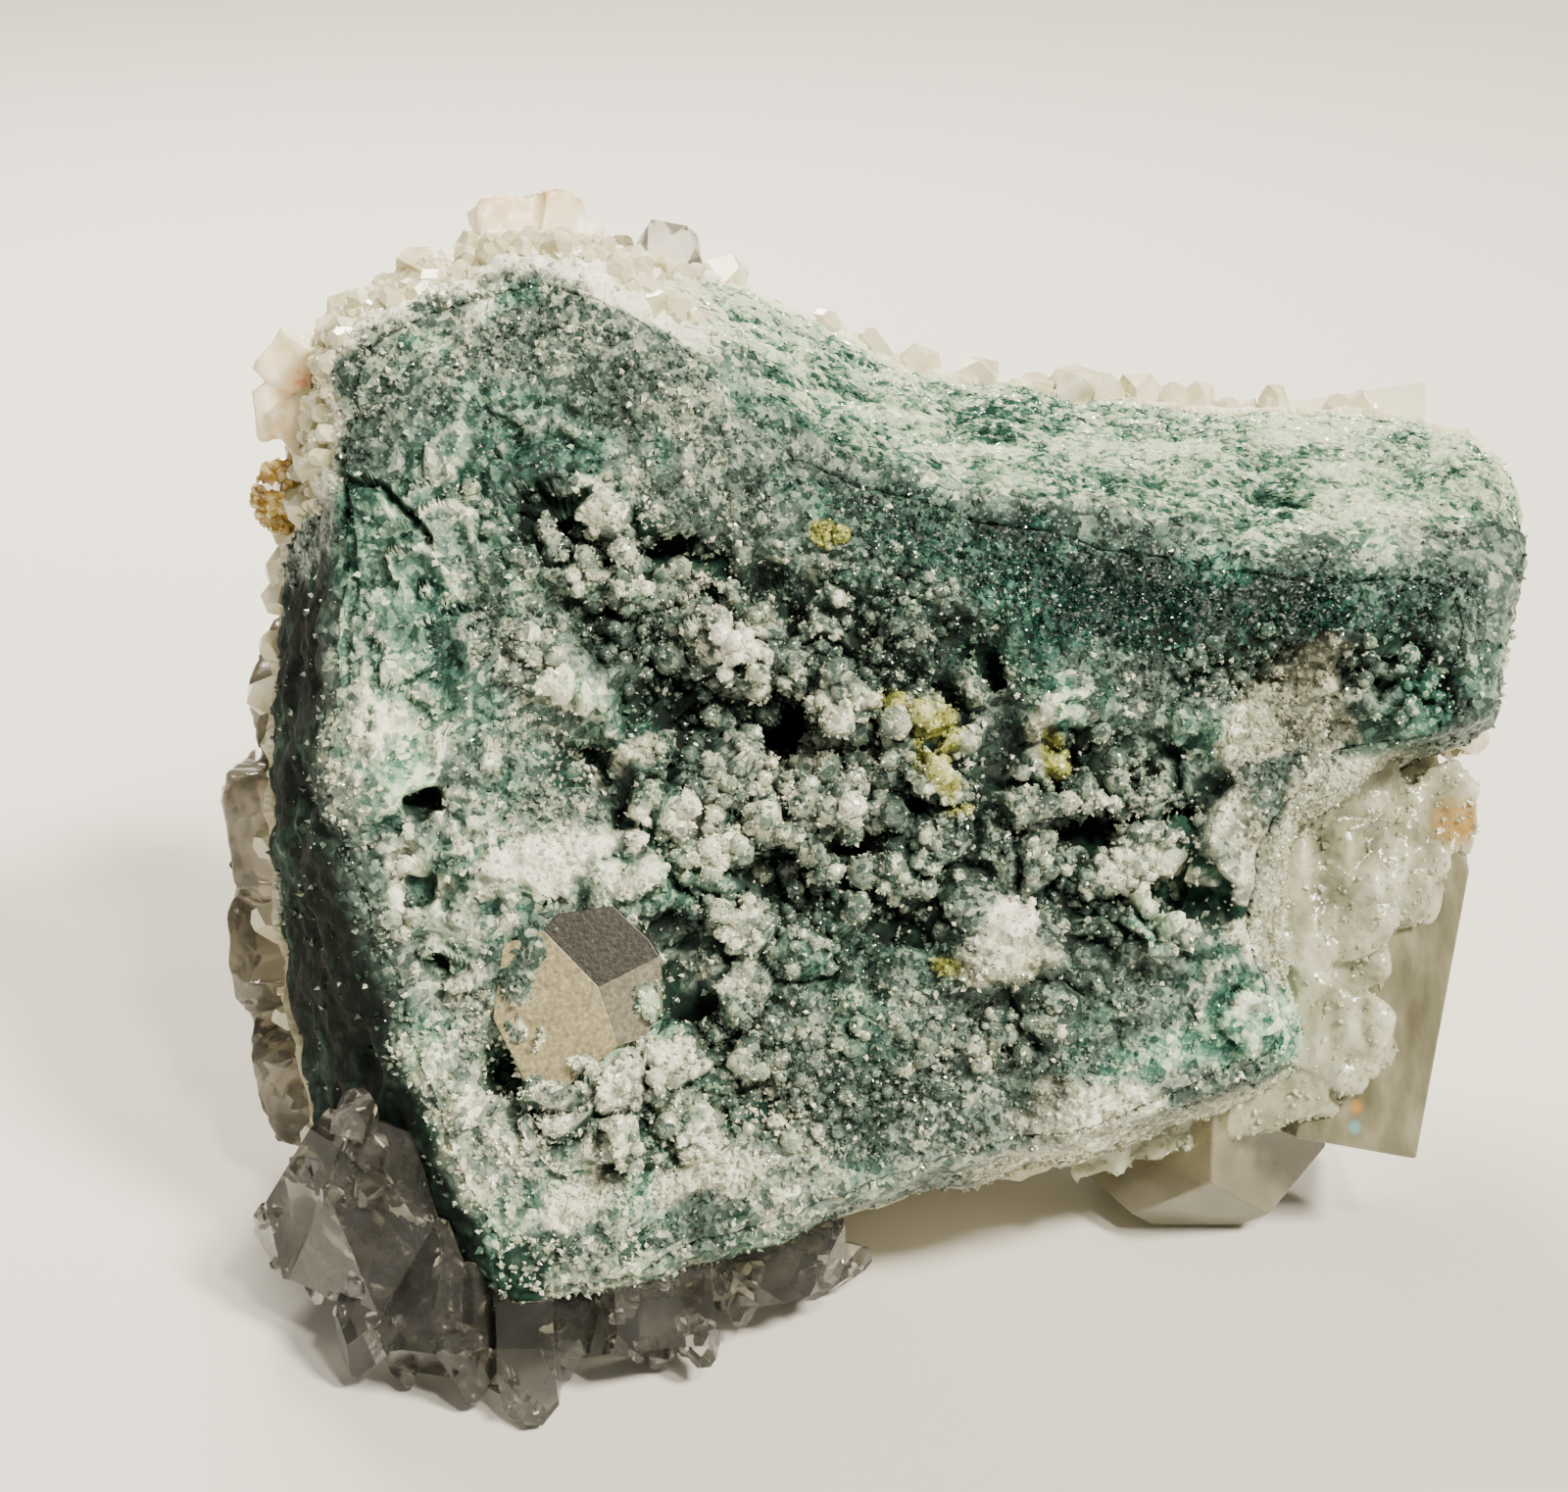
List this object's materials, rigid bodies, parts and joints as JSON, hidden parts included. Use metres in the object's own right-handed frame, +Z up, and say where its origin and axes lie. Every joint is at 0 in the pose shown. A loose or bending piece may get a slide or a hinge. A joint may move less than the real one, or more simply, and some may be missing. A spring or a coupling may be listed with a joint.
{
  "type": "apophyllite crystal specimen",
  "caption": "Hand-sized mineral specimen: a slab of green, pitted cavity rock with a cream crust and clear apophyllite crystals on its far side, leaning back on its crystals.",
  "frame": {"origin": "centre of the bounding box's bottom face, on the surface the specimen stands on", "axes": "+Z up, +X to the right along the specimen's longest side as seen from its broken green face, +Y away from that face, towards the far crystals"},
  "size_m": [0.1133, 0.0828, 0.0862],
  "materials": {
    "green_rock": "rough, sparkling with fine quartz grains",
    "cream_crust": "matt, finely crystalline",
    "clear_apophyllite": "polished natural crystal faces",
    "milky_apophyllite": "milky, glossy crystal faces",
    "smoky_apophyllite": "beige-brown, glossy crystal faces",
    "cream_stilbite": "pearly blades with a coral tint",
    "golden_calcite": "glossy small crystals"
  },
  "bodies": {
    "root": {"rock": "green_rock", "crust": "cream_crust", "corner_cluster": "clear_apophyllite", "right_crystals": "milky_apophyllite", "left_crystals": "smoky_apophyllite", "stilbite_sheaf": "cream_stilbite", "golden_crystals": "golden_calcite", "cream_blocks": "cream_stilbite", "clear_top_pair": "clear_apophyllite", "top_plate": "milky_apophyllite", "upper_left_crystal": "clear_apophyllite", "middle_crystals": "clear_apophyllite", "upper_crystal": "clear_apophyllite", "right_back_crystal": "clear_apophyllite", "lower_right_crystal": "clear_apophyllite", "back_foot_crystals": "clear_apophyllite", "left_foot_crystal": "clear_apophyllite"}
  },
  "joints": []
}
